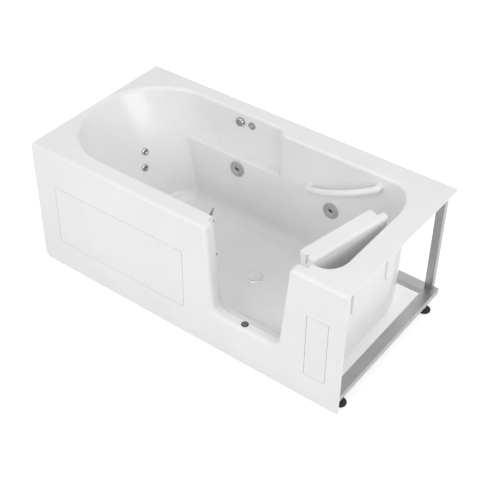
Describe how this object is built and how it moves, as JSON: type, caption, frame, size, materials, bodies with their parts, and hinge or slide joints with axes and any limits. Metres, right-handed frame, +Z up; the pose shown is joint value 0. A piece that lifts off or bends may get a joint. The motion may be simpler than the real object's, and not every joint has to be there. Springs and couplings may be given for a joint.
{
  "type": "walk in bathtub with door",
  "caption": "Low white bathtub with an inward swinging door in its front, a sloping backrest, an arm recess, a grab bar, water jets and a steel base frame.",
  "frame": {"origin": "on the floor, under the middle of the deck in both directions", "axes": "+X from the head end to the foot end, +Y from the front apron to the wall side, +Z up"},
  "size_m": [1.524, 0.78, 0.628],
  "materials": {
    "acrylic": "glossy white moulded acrylic",
    "panel_acrylic": "glossy white flat sheet",
    "frame_steel": "brushed stainless tube",
    "zinc_steel": "zinc plated",
    "chrome": "polished",
    "foot_rubber": "moulded black rubber",
    "seal_rubber": "soft grey seal",
    "black_plastic": "moulded black plastic",
    "jet_plastic": "satin grey trim",
    "bar_plastic": "white coated tube",
    "pipe_plastic": "white pipe plastic",
    "hose_plastic": "clear grey hose",
    "pump_paint": "dark painted motor",
    "pump_plastic": "moulded black plastic"
  },
  "bodies": {
    "tub": {"tub_shell": "acrylic", "large_access_panel": "panel_acrylic", "small_access_panel": "panel_acrylic", "panel_clips": "zinc_steel", "base_rail_front": "frame_steel", "base_rail_back": "frame_steel", "base_rail_head": "frame_steel", "base_rail_foot": "frame_steel", "cross_rails": "frame_steel", "post_front_head": "frame_steel", "post_front_foot": "frame_steel", "post_back_head": "frame_steel", "post_back_foot": "frame_steel", "top_rail_back": "frame_steel", "foot_pads": "foot_rubber", "foot_stems": "zinc_steel", "foot_lock_nuts": "zinc_steel", "hinge_pin": "zinc_steel", "hinge_upper": "zinc_steel", "hinge_lower": "zinc_steel", "hinge_screws": "zinc_steel", "latch_base_upper": "chrome", "latch_base_lower": "chrome", "sill_drain_ring": "black_plastic", "sill_drain_cap": "jet_plastic", "drain_flange": "chrome", "drain_shoe": "pipe_plastic", "grab_bar": "bar_plastic", "grab_bar_flanges": "bar_plastic", "jet_body_head": "pipe_plastic", "jet_body_foot": "pipe_plastic", "jet_ring_head": "jet_plastic", "jet_ring_foot": "jet_plastic", "back_jet_bodies": "chrome", "back_jet_nozzles": "black_plastic", "air_control_body": "chrome", "button_body": "chrome", "pump_shelf": "zinc_steel", "pump_motor": "pump_paint", "pump_volute": "pump_plastic", "pump_terminal_box": "pump_plastic", "suction_body": "pipe_plastic", "suction_cover": "bar_plastic", "suction_pipe": "pipe_plastic", "pressure_pipe": "pipe_plastic", "back_jet_hoses": "hose_plastic", "air_hose": "hose_plastic", "button_tube": "hose_plastic"},
    "door": {"door_panel": "acrylic", "door_seal": "seal_rubber"},
    "latch_upper": {"latch_lever_upper": "chrome"},
    "latch_lower": {"latch_lever_lower": "chrome"},
    "jet_nozzle_head": {"jet_nozzle_head": "black_plastic"},
    "jet_nozzle_foot": {"jet_nozzle_foot": "black_plastic"},
    "air_knob": {"air_control_knob": "chrome"},
    "pump_button": {"pump_button": "jet_plastic"},
    "stopper": {"drain_stopper": "bar_plastic"}
  },
  "joints": [
    {"name": "door_hinge", "type": "hinge", "parent": "tub", "child": "door", "pos_m": [0.538, -0.325, 0.38], "axis": [0, 0, 1], "range_deg": [0, 101.5]},
    {"name": "latch_upper_turn", "type": "hinge", "parent": "tub", "child": "latch_upper", "pos_m": [0.09271, -0.305, 0.566], "axis": [0, 1, 0], "range_deg": [0, 72]},
    {"name": "latch_lower_turn", "type": "hinge", "parent": "tub", "child": "latch_lower", "pos_m": [0.10723, -0.305, 0.4], "axis": [0, 1, 0], "range_deg": [0, 106]},
    {"name": "jet_head_turn", "type": "hinge", "parent": "tub", "child": "jet_nozzle_head", "pos_m": [-0.211, 0.27018, 0.335], "axis": [0, -0.9973, 0.0732], "range_deg": [0, 90]},
    {"name": "jet_foot_turn", "type": "hinge", "parent": "tub", "child": "jet_nozzle_foot", "pos_m": [0.275, 0.27018, 0.335], "axis": [0, -0.9973, 0.0732], "range_deg": [0, 90]},
    {"name": "air_knob_turn", "type": "hinge", "parent": "tub", "child": "air_knob", "pos_m": [-0.23, 0.305, 0.548], "axis": [0, -1, 0], "range_deg": [0, 180]},
    {"name": "pump_button_press", "type": "slide", "parent": "tub", "child": "pump_button", "axis": [0, 1, 0], "range_m": [0, 0.003], "stiffness_N_per_m": 400, "springref_m": -0.002},
    {"name": "stopper_lift", "type": "slide", "parent": "tub", "child": "stopper", "axis": [0, 0, 1], "range_m": [0, 0.012]}
  ]
}
